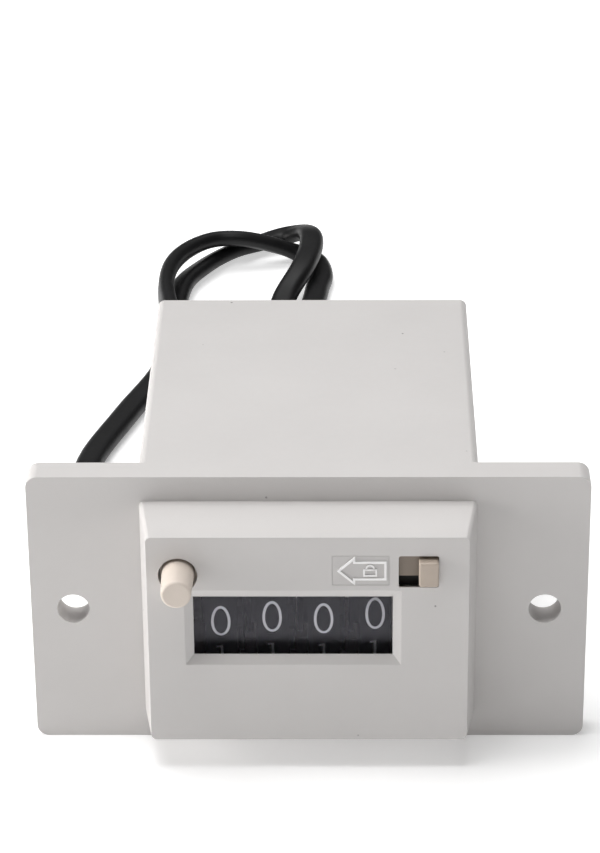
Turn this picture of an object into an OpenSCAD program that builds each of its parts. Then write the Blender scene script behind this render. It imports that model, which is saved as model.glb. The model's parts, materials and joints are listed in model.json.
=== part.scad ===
// Panel-mount impulse counter with number wheels, a reset button, a lock slide and a rear cable.
// X runs to the right, Y to the rear and Z up. The origin is the centre of the front flange's
// front face, midway between the two fixing holes. The counter stands on the bottom of the flange.

/* [Flange] */
// Width of the front flange
flange_w = 75; // [60:0.5:95]
// Height of the front flange and of the case behind it
flange_h = 40.2; // [40:0.2:50]
// Thickness of the front flange
flange_t = 4.2; // [3:0.1:5.2]
// Radius of the flange's corners
flange_r = 1.6; // [0.5:0.1:3]
// Distance between the two fixing holes
hole_pitch = 63.6; // [60:0.2:80]
// Diameter of the fixing holes
hole_d = 4.4; // [3:0.1:5.5]

/* [Case] */
// Width of the box behind the flange
case_w = 45.4; // [45:0.2:56]
// Depth of the box behind the flange
case_d = 51.6; // [51:0.2:65]
// Thickness of the case walls
case_wall = 1.8; // [1.4:0.1:2.2]
// Radius of the case's long edges
case_r = 1; // [0.4:0.1:1.6]
// Thickness of the rear cover
cover_t = 2; // [1.5:0.1:3]
// Diameter of the cover screws
cover_screw_d = 2.5; // [2:0.1:3]

/* [Bezel] */
// Width of the bezel where it meets the flange
bezel_w = 45; // [45:0.2:54]
// Height of the bezel where it meets the flange
bezel_h = 33; // [33:0.2:38]
// How far the bezel stands out of the flange
bezel_p = 8.3; // [8:0.1:12]
// How much the bezel narrows towards its front, on the left and right
bezel_draft_x = 1.25; // [0.5:0.05:1.5]
// How much the bezel narrows towards its front, at the top and bottom
bezel_draft_z = 0.95; // [0.3:0.05:1.2]
// Thickness of the bezel's front wall
bezel_wall = 1.5; // [1.2:0.1:1.9]
// Radius of the bezel's corners
bezel_r = 0.7; // [0.3:0.1:2]

/* [Window] */
// Width of the window at the bezel's face
window_w = 28.7; // [24:0.1:29]
// Height of the window at the bezel's face
window_h = 11.4; // [9:0.1:12]
// Place of the window's centre to the right of the middle
window_x = -2; // [-3:0.1:0]
// Height of the window's centre, and of the wheel shaft, above the middle
window_z = 1.9; // [0:0.1:2.2]
// Width of the slope above and below the window
window_slope = 1.3; // [0.6:0.1:1.6]
// Width of the slope at the window's left and right
window_slope_x = 1.15; // [0.6:0.05:1.6]
// Depth of the slope around the window
window_lip = 0.7; // [0.5:0.1:1]
// Thickness of the clear pane
pane_t = 1.2; // [0.8:0.1:1.4]

/* [Reset button] */
// Diameter of the button
button_d = 4.3; // [3.6:0.1:4.6]
// Diameter of the hole around the button
button_hole_d = 5.2; // [4.8:0.1:5.6]
// How far the button stands out of the bezel
button_out = 5.2; // [4.4:0.1:7]
// How far the button goes in
button_travel = 4; // [2:0.1:4.2]
// Place of the button to the left of the middle
button_left = 17.1; // [16.9:0.1:17.3]
// Height of the button above the middle
button_z = 9.8; // [9.4:0.1:10.4]

/* [Lock slide] */
// Width of the lock slot
lock_slot_w = 5.3; // [4.4:0.1:6]
// Height of the lock slot
lock_slot_h = 4.7; // [4:0.1:5]
// Width of the finger tab
lock_tab_w = 2.6; // [2:0.1:3]
// How far the tab stands out of the bezel
lock_tab_out = 1; // [0.6:0.1:2]
// Place of the slot's centre to the right of the middle
lock_x = 14.6; // [14:0.1:15]
// Height of the slot's centre above the middle
lock_z = 10.4; // [10.2:0.1:10.6]

/* [Number wheels] */
// Diameter of the number wheels
wheel_d = 22; // [18:0.2:22.4]
// Distance from one wheel to the next
wheel_pitch = 6.86; // [6.7:0.02:7]
// Width of a wheel's rim
rim_w = 4.3; // [4:0.1:4.4]
// Place of the middle of the row of wheels to the right of the middle
wheels_x = -1.4; // [-1.6:0.1:-1.2]
// Diameter of the wheel shaft
shaft_d = 2.4; // [2:0.1:3]

/* [Transfer pinions] */
// Tooth module of the wheels' gear rings and the pinions
tooth_module = 0.94; // [0.8:0.01:0.96]
// Diameter of the pinion shaft
pinion_shaft_d = 1.6; // [1.2:0.1:1.8]

/* [Magnet] */
// Diameter of the coil bobbin's flanges
bobbin_d = 19; // [15:0.5:19]
// Length of the coil bobbin
bobbin_l = 20.5; // [16:0.5:21]
// Diameter of the iron core
core_d = 7; // [5:0.5:9]
// Thickness of the yoke's steel
yoke_t = 1.5; // [1:0.1:1.6]

/* [Frame] */
// Thickness of the two side frames
frame_t = 1.2; // [0.8:0.1:1.3]

/* [Cable] */
// Width of the flat two-core cable
cable_w = 4.3; // [3.6:0.1:4.4]
// Thickness of the flat two-core cable
cable_t = 2.7; // [2.4:0.1:3]
// How far the strain-relief bush stands out of the rear cover
bush_out = 12.2; // [8:0.1:12.2]
// Place of the cable's exit to the right of the middle
exit_x = 13; // [13:0.1:13.4]
// Height of the cable's exit above the middle
exit_z = -8; // [-8.4:0.1:-7.6]

/* [Hidden] */
$fn = 64;
eps = 0.01;

// Clearances: a shaft in its hole, parts that are only seated, and parts that move past each other
run_gap = 0.05;
seat_gap = 0.1;
move_gap = 0.3;

// Case and bezel
inner_w = case_w - 2 * case_wall;
inner_h = flange_h - 2 * case_wall;
rear_y = flange_t + case_d;
cover_y = rear_y - cover_t;
front_w = bezel_w - 2 * bezel_draft_x;
front_h = bezel_h - 2 * bezel_draft_z;
front_y = -bezel_p;
wall_y = front_y + bezel_wall;
cavity_w = front_w - 2 * bezel_wall;
cavity_h = front_h - 2 * bezel_wall;
spigot_w = cavity_w + 1.6;
spigot_h = cavity_h + 1.6;
spigot_d = 2.5;
opening_w = spigot_w + 2 * seat_gap;
opening_h = spigot_h + 2 * seat_gap;

// Cover screws and their bosses
boss_d = 5;
boss_l = 9.6;
boss_x = 13;
boss_z = inner_h / 2 - boss_d / 2 + 0.1;
screw_head_d = cover_screw_d * 1.8;
screw_head_t = 1.2;
screw_l = 6.6;
// Places of the two ribs on the inside of the cover
rib_places = [-14, 18.2];
rib_h = 20;
rib_t = 1.6;

// Window pane
pane_y = front_y + window_lip;
pane_lap = 1;
inside_w = window_w - 2 * window_slope_x;
inside_h = window_h - 2 * window_slope;
pane_w = inside_w + 2 * pane_lap;
pane_h = inside_h + 2 * pane_lap;

// Number wheels
wheel_gap = 1.05;
wheel_r = wheel_d / 2;
shaft_y = pane_y + pane_t + wheel_gap + wheel_r;
clip_d = 5;
clip_t = 0.5;
clip_in = clip_t + 2 * seat_gap;
sleeve_gap = 0.15;
shaft_z = window_z;
side_disc_w = 0.7;
cam_r = 7;
cam_low_r = 3;
transfer_disc_r = 7.6;
transfer_tooth_r = 8.4;
hub_d = shaft_d + 3.6;
function wheel_x(i) = wheels_x + (i - 2.5) * wheel_pitch;
function rim_left(i) = wheel_x(i) - rim_w / 2;
function rim_right(i) = wheel_x(i) + rim_w / 2;

// Gear rings and pinions
ring_teeth = 20;
pinion_teeth = 8;
ring_r = tooth_module * ring_teeth / 2;
pinion_r = tooth_module * pinion_teeth / 2;
pinion_angle = -50;
pinion_y = shaft_y + (ring_r + pinion_r) * cos(pinion_angle);
pinion_z = shaft_z + (ring_r + pinion_r) * sin(pinion_angle);
pinion_side_gap = 0.2;
pinion_sleeve_d = 3;

// Ratchet on the units wheel
ratchet_teeth = 10;
ratchet_r = 8.5;
ratchet_root_r = 7.2;
ratchet_t = 1.2;

// Side frames
frame_x = inner_w / 2 - 0.5 - frame_t;
frame_front_y = spigot_d + 0.4;
frame_step_y = flange_t + 0.4;
frame_rear_y = cover_y - 2.6;
frame_low_h = opening_h - 0.9;
frame_high_h = inner_h - 1.4;
spacer_d = 3;
spacer_end_d = 1.8;
// Places of the frame spacers, as distances behind the flange and heights
spacer_places = [[8.5, -15.5], [21.5, 15.6], [40, -16]];
chassis_t = 1.2;
chassis_y = frame_rear_y - chassis_t;
chassis_h = 25;

// Reset button, its bracket, spring and cam blade
button_x = -button_left;
button_y = front_y - button_out;
collar_left = 2.4;
collar_right = 2.9;
collar_low = 2;
collar_high = 3.7;
collar_t = 0.8;
collar_y = wall_y + 0.2;
stem_d = 2.6;
bracket_t = 1;
bracket_y = frame_front_y + 0.3;
bracket_h = 7;
blade_t = 1.2;
blade_y = bracket_y + bracket_t + move_gap;
blade_l = 12;
blade_low = -2.5;
blade_high = 4.3;
spring_wire_d = 0.4;
spring_mean_d = 3.4;

// Reset comb: it goes down by a share of the button's travel
comb_ratio = 0.5;
comb_drop = comb_ratio * button_travel;
comb_t = 2;
comb_y = max(shaft_y, flange_t + comb_t / 2 + move_gap);
comb_z = shaft_z + wheel_r + comb_drop + 0.4;
comb_end_w = 1;
finger_t = 0.4;
finger_w = 1.6;
finger_z = shaft_z + cam_r + comb_drop + move_gap;
cam_pin_d = 1.6;
cam_pin_y = shaft_y + 6.3;
cam_pin_z = button_z + 2.4;
cam_slot_d = cam_pin_d + 0.4;

// Lock slide: the plate slides in a pocket behind the bezel's face, in front of the keeper
slide_t = 0.8;
slot_wall = 0.7;
slide_y = front_y + slot_wall + seat_gap;
slide_low = lock_z - 1;
slide_high = lock_z + 2.9;
lock_travel = lock_slot_w - lock_tab_w - 0.1;
tab_x = lock_x + lock_slot_w / 2 - 0.05 - lock_tab_w / 2;
tab_z = lock_z;
tab_h = lock_slot_h - 1.1;
slide_l = 11.6;
slide_right = tab_x + lock_tab_w / 2 + 0.9;
slide_left = slide_right - slide_l;
tongue_x = -10.9;
tongue_w = 1.6;
tongue_low = button_z - 1;
tongue_h = 2;
keeper_y = slide_y + slide_t + seat_gap;
keeper_t = 0.8;
keeper_w = 14;
keeper_x = 12.1;
keeper_low = window_z + pane_h / 2 + 0.25;
keeper_high = min(slide_high + 0.7, cavity_h / 2 - seat_gap);
keeper_foot_w = 0.8;

// Legend plate beside the lock slot, with a raised arrow to the left and a padlock in it
legend_l = 7.5;
legend_h = 4.4;
legend_t = 0.35;
legend_x = lock_x - lock_slot_w / 2 - 1.25 - legend_l / 2;
legend_z = lock_z + 0.2;
arrow_left = 0.7 - legend_l / 2;
arrow_right = legend_l / 2 - 0.4;
arrow_rise = 0.2;
arrow_line = 0.25;
head_l = 2.2;
head_h = 4.1;
shaft_h = 2.75;

// Magnet
coil_z = -4;
core_y = shaft_y + wheel_r + 9.4;
bobbin_y = core_y + 0.8;
bobbin_flange_t = 1;
bobbin_tube_d = core_d + 1.6;
winding_d = bobbin_d - 3;
yoke_w = 16;
yoke_y = bobbin_y + bobbin_l + 0.4;
yoke_top = coil_z + bobbin_d / 2 + 5.5;
yoke_bottom = coil_z - 9;
pivot_y = core_y - 1;
pivot_z = yoke_top - yoke_t - 0.5;
pivot_d = 1.6;
knuckle_d = 3;
ear_t = 1.2;
armature_t = 1.2;
armature_gap = 1.4;
armature_y = core_y - armature_gap - armature_t;
armature_w = 14;
armature_low = coil_z - 6;
pallet_t = 1;
pallet_x = rim_right(4) + ratchet_t / 2;
tail_z = pivot_z + 4.6;
return_spring_d = 1.8;
return_spring_wire_d = 0.35;
return_spring_l = 9;
hook_y = armature_y + armature_t + return_spring_l;
hook_t = 0.8;
yoke_screw_x = 5;
yoke_screw_z = coil_z + 9;
yoke_screw_d = 2;
yoke_nut_d = 3.6;

// Terminals and wires
board_rear = yoke_y - 2;
board_l = min(10, board_rear - hook_y - hook_t - 1.3);
board_y = board_rear - board_l;
board_z = yoke_top + 0.1;
board_t = 1;
lug_x = 4.5;
lug_w = 1.6;
lug_t = 0.4;
lug_h = 1.6;
lug_in = 1.5;
wire_d = 0.8;

// Rear bush
bush_d = 8.4;
bush_neck_d = 6.4;
bush_tip_d = 5.8;
bush_flange_t = 2;
barb_l = 1.2;
barb_out = 0.8;
cable_end_y = rear_y + bush_out;
inner_cable_y = chassis_y - 0.6;

// Cores at the cable's far end, and their tinned tips
far_core_x = 0.75;
far_core_d = 1.3;
far_core_l = 9;
far_tip_d = 0.8;
far_tip_l = 4;

// Route of the cable's centreline: x, y, z and the turn of its flat side in degrees
cable_route = [
    [13, 68, -8, 0], [13, 73, -8, 0], [12.8, 80, -10, 0], [11.6, 88, -15.6, 0], [8, 97, -18.3, 0],
    [2.4, 107, -18.6, 0], [-1.4, 126, -18.6, 0], [-0.4, 142.5, -18.6, 0], [0.4, 149.8, -18.6, 0],
    [-0.7, 156, -18.6, 0], [-3.8, 159, -18.2, -10], [-8.8, 158.5, -16.2, -27],
    [-13.9, 157.8, -14.8, -27], [-18.8, 157, -14.6, -30], [-22.6, 153.5, -14.6, -45],
    [-25.4, 147.8, -14.6, -65], [-26.5, 141, -14.6, -80], [-26.2, 132.6, -14.6, -80],
    [-24.7, 124.2, -14.6, -55], [-20.6, 119, -16.8, -20], [-14, 120.3, -18.5, 0],
    [-9.5, 125.3, -18.6, 0], [-7, 132.7, -18.4, 0], [-5.6, 139.2, -17.2, 0], [-2.9, 145.7, -15.2, 0],
    [-1.5, 153, -14.8, -5], [-1.5, 158.8, -14.8, -8], [-2.9, 163.2, -16, 0], [-6.4, 165.5, -17.7, 5],
    [-11, 163.7, -18.3, -15], [-15.9, 159.9, -18.3, -27], [-20.7, 153.2, -18.3, -27],
    [-24.3, 144.6, -18.4, -20], [-25.3, 129.4, -18.6, 0], [-25.7, 112.5, -18.6, 0],
    [-31, 95.3, -18.6, 0], [-35.8, 78.3, -18.6, 0], [-35.2, 66, -18.6, 0], [-30, 54, -18.6, 0],
    [-27, 42, -18.6, 0]
];

// The route starts at the bush's tip, and moves with it
cable_shift = [exit_x - cable_route[0][0], cable_end_y - cable_route[0][1], 0];

// Shapes

module rounded_rect(w, h, r) {
    square([w - 2 * r, h], center = true);
    square([w, h - 2 * r], center = true);
    for (x = [-1, 1], z = [-1, 1])
        translate([x * (w / 2 - r), z * (h / 2 - r)]) circle(r);
}

// An outline in X and Z, made t thick towards the rear from y
module slab(y, t) {
    translate([0, y + t, 0]) rotate([90, 0, 0]) linear_extrude(t) children();
}

// An outline in Y and Z, made t thick to the right from x
module side_slab(x, t) {
    translate([x, 0, 0]) rotate([90, 0, 90]) linear_extrude(t) children();
}

module block(x, y, z) {
    translate([x[0], y[0], z[0]]) cube([x[1] - x[0], y[1] - y[0], z[1] - z[0]]);
}

// A round bar towards the rear from y
module rod_y(x, y, z, d, l) {
    translate([x, y, z]) rotate([-90, 0, 0]) cylinder(d = d, h = l);
}

// A round bar to the right from x
module rod_x(x, y, z, d, l) {
    translate([x, y, z]) rotate([0, 90, 0]) cylinder(d = d, h = l);
}

function unit(v) = v / norm(v);
function place(p) = [p[0], p[1], p[2]];
function turned(q, a) = [q[0] * cos(a) - q[1] * sin(a), q[0] * sin(a) + q[1] * cos(a)];
function heading(p, i) = unit(place(p[min(i + 1, len(p) - 1)]) - place(p[max(i - 1, 0)]));
function ring(p, i, outline, ref) =
    let (t = heading(p, i), s = unit(cross(t, ref)), u = cross(s, t))
    [for (q = outline) let (r = turned(q, p[i][3])) place(p[i]) + r[0] * s + r[1] * u];

// A tube along a path of points [x, y, z, turn], with the outline kept square to ref
module sweep(path, outline, ref = [0, 0, 1]) {
    n = len(outline);
    m = len(path);
    points = [for (i = [0:m - 1]) each ring(path, i, outline, ref)];
    sides = [for (i = [0:m - 2]) for (j = [0:n - 1])
        let (a = i * n + j, b = i * n + (j + 1) % n)
        each [[a, b, b + n], [a, b + n, a + n]]];
    ends = [[for (j = [n - 1:-1:0]) j], [for (j = [0:n - 1]) (m - 1) * n + j]];
    polyhedron(points, concat(sides, ends));
}

function oval(w, t, sides) = [for (k = [0:sides - 1])
    [w / 2 * cos(360 * k / sides), t / 2 * sin(360 * k / sides)]];

// A smooth curve through the points of p, with steps points for each of its stretches
function between(a, b, c, d, t) =
    0.5 * (2 * b + (c - a) * t + (2 * a - 5 * b + 4 * c - d) * t * t
        + (3 * b - a - 3 * c + d) * t * t * t);
function smooth(p, steps) = concat(
    [for (i = [0:len(p) - 2]) for (k = [0:steps - 1])
        between(p[max(i - 1, 0)], p[i], p[i + 1], p[min(i + 2, len(p) - 1)], k / steps)],
    [p[len(p) - 1]]);

// A coil spring along Y
module spring_y(x, y, z, mean_d, wire_d, l, turns) {
    steps = 12;
    wire = [for (k = [0:turns * steps])
        [x + mean_d / 2 * cos(360 * k / steps), y + wire_d / 2 + (l - wire_d) * k / (turns * steps),
            z + mean_d / 2 * sin(360 * k / steps), 0]];
    sweep(wire, oval(wire_d, wire_d, 6), [0, 1, 0]);
}

module wire(points) {
    sweep(smooth([for (p = points) concat(p, [0])], 4), oval(wire_d, wire_d, 8), unit([1, 0.3, 0]));
}

// Outline of a toothed ring with straight-sided teeth, one gap centred on the angle gap_at
module teeth(count, pitch_r, root_r, tip_r, gap_at) {
    step = 360 / count;
    root_w = 1.4 * tooth_module;
    tip_w = 0.55 * tooth_module;
    circle(root_r);
    for (k = [0:count - 1])
        rotate(gap_at + step * (k + 0.5)) polygon([
            [root_r - 0.4, -root_w / 2], [root_r, -root_w / 2], [tip_r, -tip_w / 2],
            [tip_r, tip_w / 2], [root_r, root_w / 2], [root_r - 0.4, root_w / 2]]);
}

// Case, bezel and cover

module case() {
    color("gainsboro") difference() {
        union() {
            slab(0, flange_t) rounded_rect(flange_w, flange_h, flange_r);
            slab(flange_t - eps, case_d + eps) rounded_rect(case_w, flange_h, case_r);
        }
        slab(-eps, flange_t + 2 * eps) square([opening_w, opening_h], center = true);
        difference() {
            slab(flange_t, case_d + eps) square([inner_w, inner_h], center = true);
            for (x = [-boss_x, boss_x], z = [-boss_z, boss_z]) cover_boss(x, z);
        }
        for (x = [-1, 1]) rod_y(x * hole_pitch / 2, -eps, 0, hole_d, flange_t + 2 * eps);
        for (x = [-boss_x, boss_x], z = [-boss_z, boss_z])
            rod_y(x, cover_y - boss_l + 2, z, cover_screw_d - 0.4, boss_l);
    }
}

module cover_boss(x, z) {
    rod_y(x, cover_y - boss_l, z, boss_d, boss_l);
    block([x - boss_d / 2, x + boss_d / 2], [cover_y - boss_l, cover_y],
        z > 0 ? [z, inner_h / 2 + eps] : [-inner_h / 2 - eps, z]);
}

module bezel() {
    color("gainsboro") difference() {
        union() {
            hull() {
                slab(front_y, eps) rounded_rect(front_w, front_h, bezel_r);
                slab(-eps, eps) rounded_rect(bezel_w, bezel_h, bezel_r);
            }
            slab(-eps, spigot_d + eps) square([spigot_w, spigot_h], center = true);
        }
        slab(wall_y, bezel_p + spigot_d) square([cavity_w, cavity_h], center = true);
        window_cut();
        rod_y(button_x, front_y - eps, button_z, button_hole_d, bezel_wall + 2 * eps);
        translate([lock_x, 0, lock_z])
            slab(front_y - eps, bezel_wall + 2 * eps) square([lock_slot_w, lock_slot_h], center = true);
        slide_pocket();
        translate([legend_x, 0, legend_z])
            slab(front_y - eps, legend_t + eps) square([legend_l, legend_h], center = true);
    }
}

// Room behind the bezel's face in which the lock slide moves
module slide_pocket() {
    block([tongue_x - lock_travel - move_gap, slide_right + move_gap], [slide_y - seat_gap, wall_y + eps],
        [tongue_low - seat_gap, slide_high + seat_gap]);
}

// The sloped opening and, behind it, the pocket for the pane
module window_cut() {
    translate([window_x, 0, window_z]) {
        hull() {
            slab(front_y - eps, eps) square([window_w, window_h], center = true);
            slab(pane_y, eps) square([inside_w, inside_h], center = true);
        }
        slab(pane_y, bezel_wall) square([pane_w, pane_h], center = true);
    }
}

module window_pane() {
    color("lightcyan", 0.4) translate([window_x, 0, window_z])
        slab(pane_y, pane_t) square([pane_w - seat_gap, pane_h - seat_gap], center = true);
}

// Outline of the legend's arrow, or a smaller one inside it
module arrow(inset) {
    neck = arrow_left + head_l - inset;
    tip = arrow_left + 1.4 * inset;
    tail = arrow_right - inset;
    head = head_h / 2 - 2 * inset;
    half = shaft_h / 2 - inset;
    polygon([
        [tip, 0], [neck, head], [neck, half], [tail, half],
        [tail, -half], [neck, -half], [neck, -head]]);
}

module lock_legend() {
    color("gainsboro") translate([legend_x, 0, legend_z]) {
        slab(front_y + eps, legend_t - eps)
            square([legend_l - seat_gap, legend_h - seat_gap], center = true);
        slab(front_y - arrow_rise, arrow_rise + 2 * eps) {
            difference() {
                arrow(0);
                arrow(arrow_line);
            }
            padlock();
        }
    }
}

// A padlock's body and, above it, its shackle
module padlock() {
    body_w = 1.5;
    body_h = 1;
    shackle_r = 0.6;
    translate([body_w * 0.4, -body_h * 0.35]) {
        square([body_w, body_h], center = true);
        translate([0, body_h / 2]) difference() {
            circle(shackle_r);
            circle(shackle_r * 0.6);
            translate([0, -shackle_r]) square(2 * shackle_r, center = true);
        }
    }
}

module rear_cover() {
    color("gainsboro") difference() {
        union() {
            slab(cover_y, cover_t)
                square([inner_w - 2 * seat_gap, inner_h - 2 * seat_gap], center = true);
            for (x = rib_places)
                block([x - rib_t / 2, x + rib_t / 2], [frame_rear_y + seat_gap, cover_y + eps],
                    [-rib_h / 2, rib_h / 2]);
        }
        rod_y(exit_x, frame_rear_y - eps, exit_z, bush_neck_d, 2 * cover_t + 4);
        for (x = [-boss_x, boss_x], z = [-boss_z, boss_z]) {
            rod_y(x, cover_y - eps, z, cover_screw_d + 0.3, cover_t + 2 * eps);
            rod_y(x, rear_y - screw_head_t, z, screw_head_d + 0.3, screw_head_t + eps);
        }
    }
}

module rear_cover_screws() {
    color("silver") for (x = [-boss_x, boss_x], z = [-boss_z, boss_z]) difference() {
        union() {
            rod_y(x, cover_y - screw_l, z, cover_screw_d - 0.5, screw_l + cover_t - screw_head_t);
            rod_y(x, rear_y - screw_head_t, z, screw_head_d, screw_head_t - 0.1);
        }
        for (a = [0, 90]) translate([x, rear_y - 0.5, z]) rotate([0, a, 0])
            cube([0.5, 1.4, screw_head_d * 0.6], center = true);
    }
}

// Strain relief: it snaps into the cover and tapers towards the cable
module cable_bush() {
    neck_d = bush_neck_d - 2 * seat_gap;
    color("#2a2a2c") translate([exit_x, 0, exit_z]) difference() {
        rotate([-90, 0, 0]) rotate_extrude() polygon([
            [0, cover_y - barb_l], [neck_d / 2 + barb_out, cover_y - barb_l],
            [neck_d / 2 + barb_out, cover_y - seat_gap], [neck_d / 2, cover_y - seat_gap],
            [neck_d / 2, rear_y + seat_gap], [bush_d / 2, rear_y + seat_gap],
            [bush_d / 2, rear_y + bush_flange_t], [bush_tip_d / 2, cable_end_y], [0, cable_end_y]]);
        slab(cover_y - barb_l - 1, barb_l + cover_t + bush_out + 2) cable_outline(seat_gap);
    }
}

// The flat cable's outline: two cores side by side
module cable_outline(gap) {
    for (x = [-1, 1]) translate([x * (cable_w - cable_t) / 2, 0]) circle(d = cable_t + gap);
    square([cable_w - cable_t, cable_t + gap], center = true);
}

// Mechanism frame

module side_frame(x) {
    h1 = frame_low_h / 2;
    h2 = frame_high_h / 2;
    color("silver") difference() {
        side_slab(x, frame_t) polygon([
            [frame_front_y, -h1], [frame_front_y, h1], [frame_step_y, h1], [frame_step_y, h2],
            [frame_rear_y, h2], [frame_rear_y, -h2], [frame_step_y, -h2], [frame_step_y, -h1]]);
        rod_x(x - eps, shaft_y, shaft_z, shaft_d + 2 * run_gap, frame_t + 2 * eps);
        rod_x(x - eps, pinion_y, pinion_z, pinion_shaft_d + 2 * run_gap, frame_t + 2 * eps);
        for (p = spacer_places)
            rod_x(x - eps, p[0], p[1], spacer_end_d + 2 * run_gap, frame_t + 2 * eps);
        block([x - eps, x + frame_t + eps], [comb_y - comb_t / 2 - 0.15, comb_y + comb_t / 2 + 0.15],
            [comb_z - comb_drop - move_gap, h2 + eps]);
    }
}

module side_frame_left() { side_frame(-frame_x - frame_t); }
module side_frame_right() { side_frame(frame_x); }

module frame_spacers() {
    color("silver") for (p = spacer_places) {
        rod_x(-frame_x, p[0], p[1], spacer_d, 2 * frame_x);
        rod_x(-frame_x - frame_t, p[0], p[1], spacer_end_d, 2 * (frame_x + frame_t));
    }
}

module chassis_plate() {
    color("silver") difference() {
        block([-frame_x, frame_x], [chassis_y, frame_rear_y], [-chassis_h / 2, chassis_h / 2]);
        rod_y(exit_x, chassis_y - eps, exit_z, cable_w + 2, chassis_t + 2 * eps);
        for (x = [-yoke_screw_x, yoke_screw_x])
            rod_y(x, chassis_y - eps, yoke_screw_z, yoke_screw_d + 0.2, chassis_t + 2 * eps);
    }
}

module button_bracket() {
    color("silver") difference() {
        block([-frame_x, button_x + stem_d / 2 + 0.4], [bracket_y, bracket_y + bracket_t],
            [button_z - bracket_h / 2, button_z + bracket_h / 2 - 0.6]);
        rod_y(button_x, bracket_y - eps, button_z, stem_d + 2 * run_gap, bracket_t + 2 * eps);
    }
}

module lock_keeper() {
    foot_x = keeper_w / 2 - keeper_foot_w / 2;
    color("#1c1c1e") {
        block([keeper_x - keeper_w / 2, keeper_x + keeper_w / 2], [keeper_y, keeper_y + keeper_t],
            [keeper_low, keeper_high]);
        for (x = [keeper_x - foot_x, keeper_x + foot_x])
            block([x - keeper_foot_w / 2, x + keeper_foot_w / 2], [wall_y, keeper_y + eps],
                [slide_high + seat_gap, keeper_high]);
    }
}

// Shafts

module wheel_shaft() {
    color("silver") rod_x(-frame_x - frame_t, shaft_y, shaft_z, shaft_d, 2 * (frame_x + frame_t));
}

module shaft_clips() {
    mouth = shaft_d * 0.375;
    color("dimgray") for (x = [seat_gap - frame_x, frame_x - clip_t - seat_gap]) difference() {
        rod_x(x, shaft_y, shaft_z, clip_d, clip_t);
        rod_x(x - eps, shaft_y, shaft_z, shaft_d + 2 * run_gap, clip_t + 2 * eps);
        block([x - eps, x + clip_t + eps], [shaft_y - mouth, shaft_y + mouth],
            [shaft_z - clip_d, shaft_z]);
    }
}

module shaft_sleeve(x0, x1) {
    difference() {
        rod_x(x0, shaft_y, shaft_z, shaft_d + 2, x1 - x0);
        rod_x(x0 - eps, shaft_y, shaft_z, shaft_d + 2 * run_gap, x1 - x0 + 2 * eps);
    }
}

module shaft_sleeves() {
    color("whitesmoke") {
        shaft_sleeve(clip_in - frame_x, rim_left(1) - side_disc_w - sleeve_gap);
        shaft_sleeve(rim_right(4) + ratchet_t + sleeve_gap, frame_x - clip_in);
    }
}

module pinion_shaft() {
    color("silver")
        rod_x(-frame_x - frame_t, pinion_y, pinion_z, pinion_shaft_d, 2 * (frame_x + frame_t));
}

function pinion_left(i) = rim_right(i) + pinion_side_gap;
function pinion_right(i) = rim_left(i + 1) - pinion_side_gap;

module pinion_sleeves() {
    starts = [-frame_x, pinion_right(1), pinion_right(2), pinion_right(3)];
    stops = [pinion_left(1), pinion_left(2), pinion_left(3), frame_x];
    color("whitesmoke") for (k = [0:3]) {
        x = starts[k] + sleeve_gap;
        l = stops[k] - sleeve_gap - x;
        difference() {
            rod_x(x, pinion_y, pinion_z, pinion_sleeve_d, l);
            rod_x(x - eps, pinion_y, pinion_z, pinion_shaft_d + 2 * run_gap, l + 2 * eps);
        }
    }
}

// Reset button and comb

module reset_button() {
    rim = 0.35;
    end_d = button_d - 0.3;
    color("ivory") {
        translate([button_x, 0, button_z]) rotate([-90, 0, 0]) rotate_extrude() polygon(concat(
            [[0, button_y]],
            [for (a = [90:-15:0]) [end_d / 2 - rim + rim * cos(a), button_y + rim - rim * sin(a)]],
            [[button_d / 2, front_y], [button_d / 2, collar_y + collar_t],
                [stem_d / 2, collar_y + collar_t], [stem_d / 2, blade_y + 0.3], [0, blade_y + 0.3]]));
        block([button_x - collar_left, button_x + collar_right], [collar_y, collar_y + collar_t],
            [button_z - collar_low, button_z + collar_high]);
        difference() {
            side_slab(button_x - blade_t / 2, blade_t)
                translate([blade_y, button_z]) polygon([[0, blade_low], [0, stem_d / 2],
                    [3, blade_high], [blade_l, blade_high], [blade_l, blade_low]]);
            side_slab(button_x - blade_t, 2 * blade_t) cam_slot();
        }
    }
}

// Slanted slot: as the blade goes back by the travel, the pin goes down by the comb's drop
module cam_slot() {
    slot_angle = atan(comb_ratio);
    slot_l = button_travel / cos(slot_angle);
    translate([cam_pin_y, cam_pin_z]) rotate(slot_angle) {
        translate([-slot_l, -cam_slot_d / 2]) square([slot_l, cam_slot_d]);
        circle(d = cam_slot_d);
        translate([-slot_l, 0]) circle(d = cam_slot_d);
    }
}

module reset_button_spring() {
    spring_y(button_x, collar_y + collar_t, button_z, spring_mean_d, spring_wire_d,
        bracket_y - collar_y - collar_t, 6);
}

module reset_comb() {
    arm_x = -frame_x + 0.3;
    color("whitesmoke") {
        block([-frame_x - frame_t, frame_x + frame_t], [comb_y - comb_t / 2, comb_y + comb_t / 2],
            [comb_z, comb_z + comb_t]);
        for (i = [1:4]) {
            x = rim_left(i) - side_disc_w / 2;
            block([x - finger_t / 2, x + finger_t / 2], [comb_y - finger_w / 2, comb_y + finger_w / 2],
                [finger_z, comb_z + eps]);
        }
        side_slab(arm_x, comb_end_w) polygon([
            [comb_y - comb_t / 2, comb_z + comb_t], [comb_y - comb_t / 2, comb_z],
            [comb_y + comb_t / 2, comb_z], [cam_pin_y - 1.2, cam_pin_z - 1],
            [cam_pin_y + 1.2, cam_pin_z - 1], [cam_pin_y + 1.2, comb_z + comb_t]]);
        rod_x(arm_x, cam_pin_y, cam_pin_z, cam_pin_d, button_x + blade_t / 2 + 0.4 - arm_x);
    }
}

// Lock slide

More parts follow.
